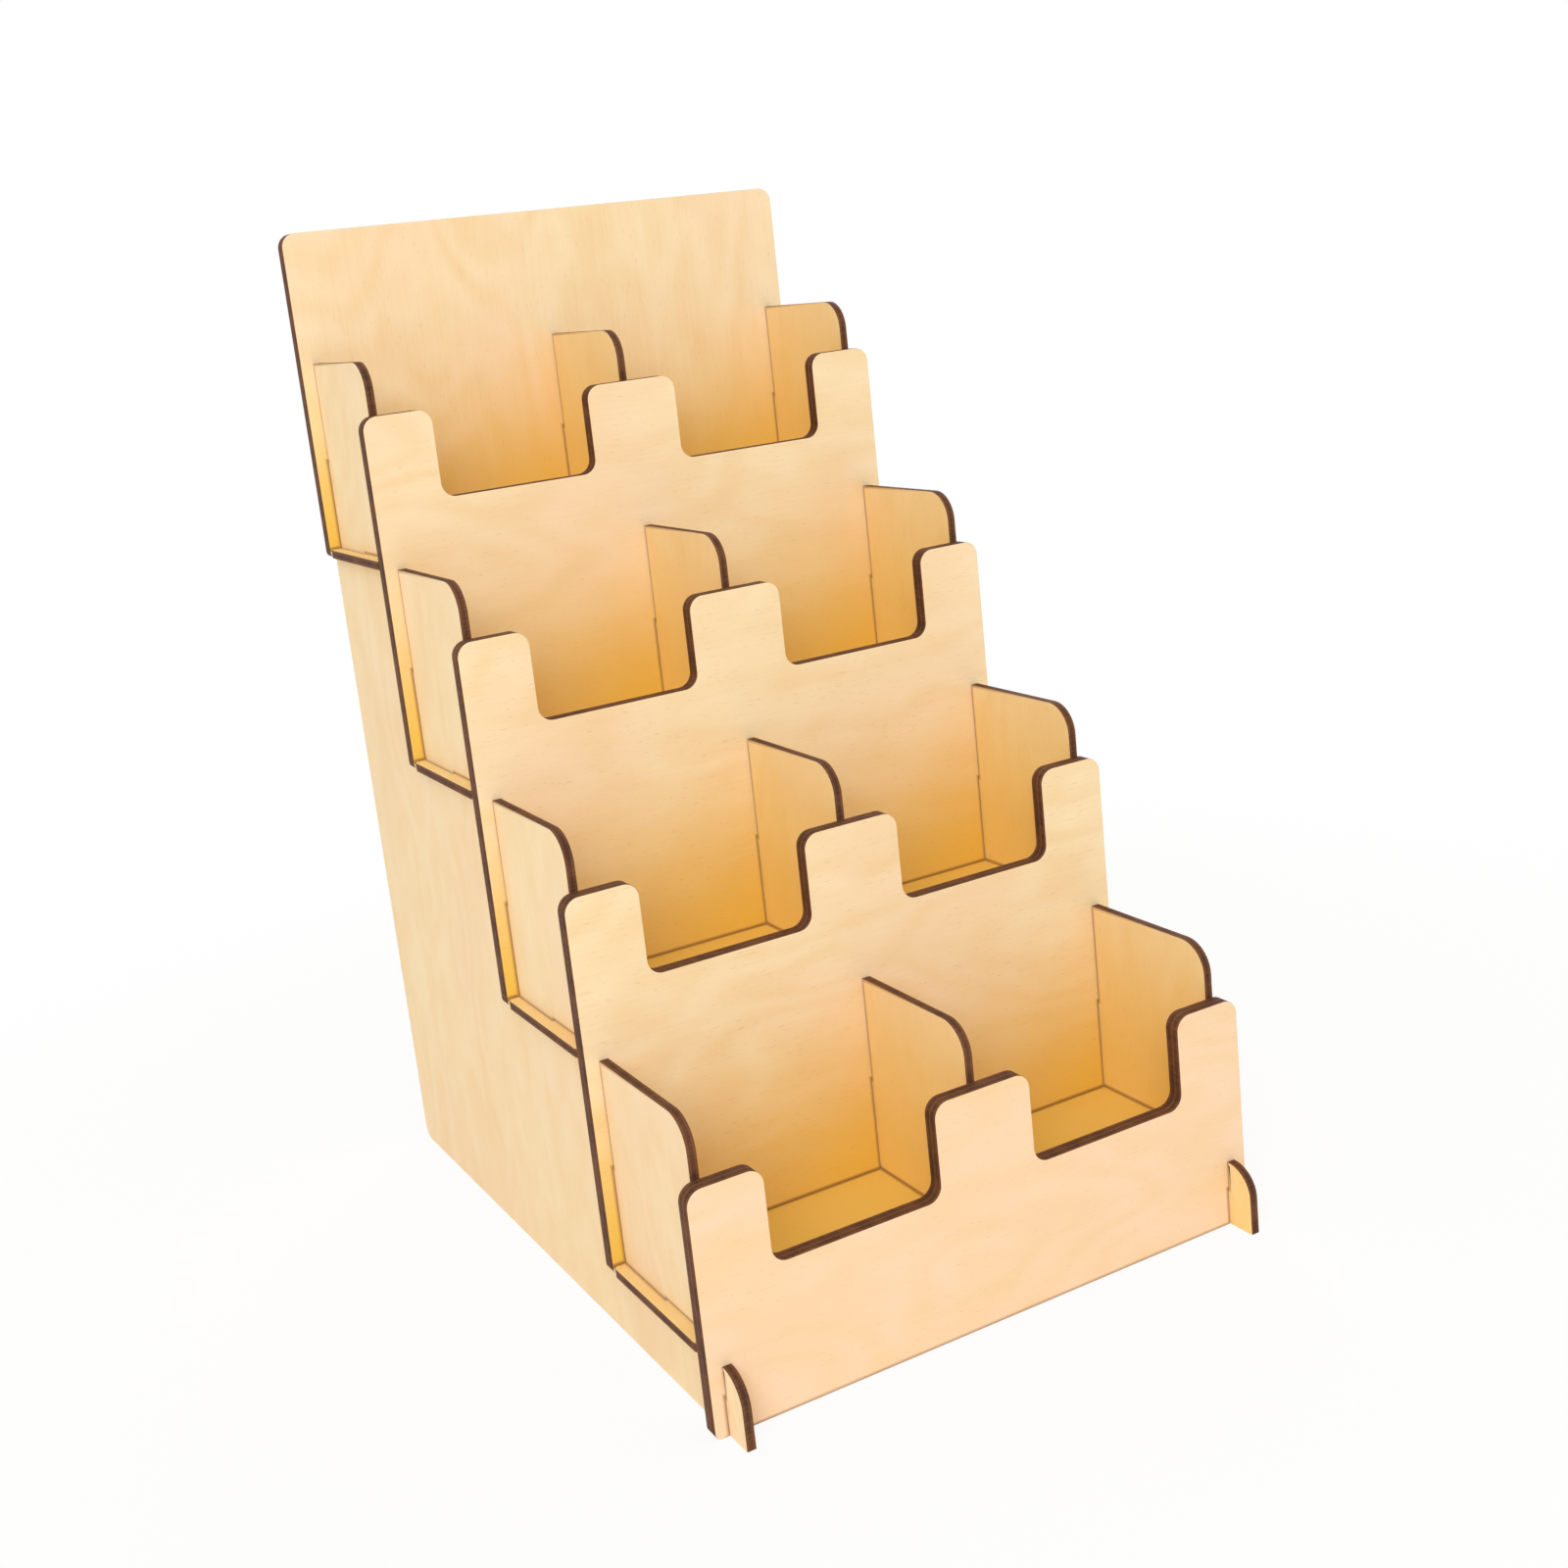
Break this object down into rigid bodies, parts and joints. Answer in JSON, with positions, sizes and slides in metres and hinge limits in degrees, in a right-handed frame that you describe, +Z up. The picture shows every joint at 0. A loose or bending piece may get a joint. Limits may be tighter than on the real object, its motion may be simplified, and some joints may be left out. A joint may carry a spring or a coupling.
{
  "type": "card display stand",
  "caption": "Stepped tabletop display stand for cards, cut from flat birch plywood plates that slot together, with open pockets, finger notches and a tall plain back panel.",
  "frame": {"origin": "on the ground below the middle of the stand's outline", "axes": "+Z up, +X to the right as seen from the front, -Y towards the viewer at the front; mirror symmetric in X"},
  "size_m": [0.2, 0.2636, 0.351],
  "materials": {
    "plywood": "bare sanded birch with laser-darkened cut edges"
  },
  "bodies": {
    "root": {"back_panel": "plywood", "front_panel_1": "plywood", "front_panel_2": "plywood", "front_panel_3": "plywood", "front_panel_4": "plywood", "pocket_floor_1": "plywood", "pocket_floor_2": "plywood", "pocket_floor_3": "plywood", "pocket_floor_4": "plywood", "left_rib": "plywood", "centre_rib": "plywood", "right_rib": "plywood"}
  },
  "joints": []
}
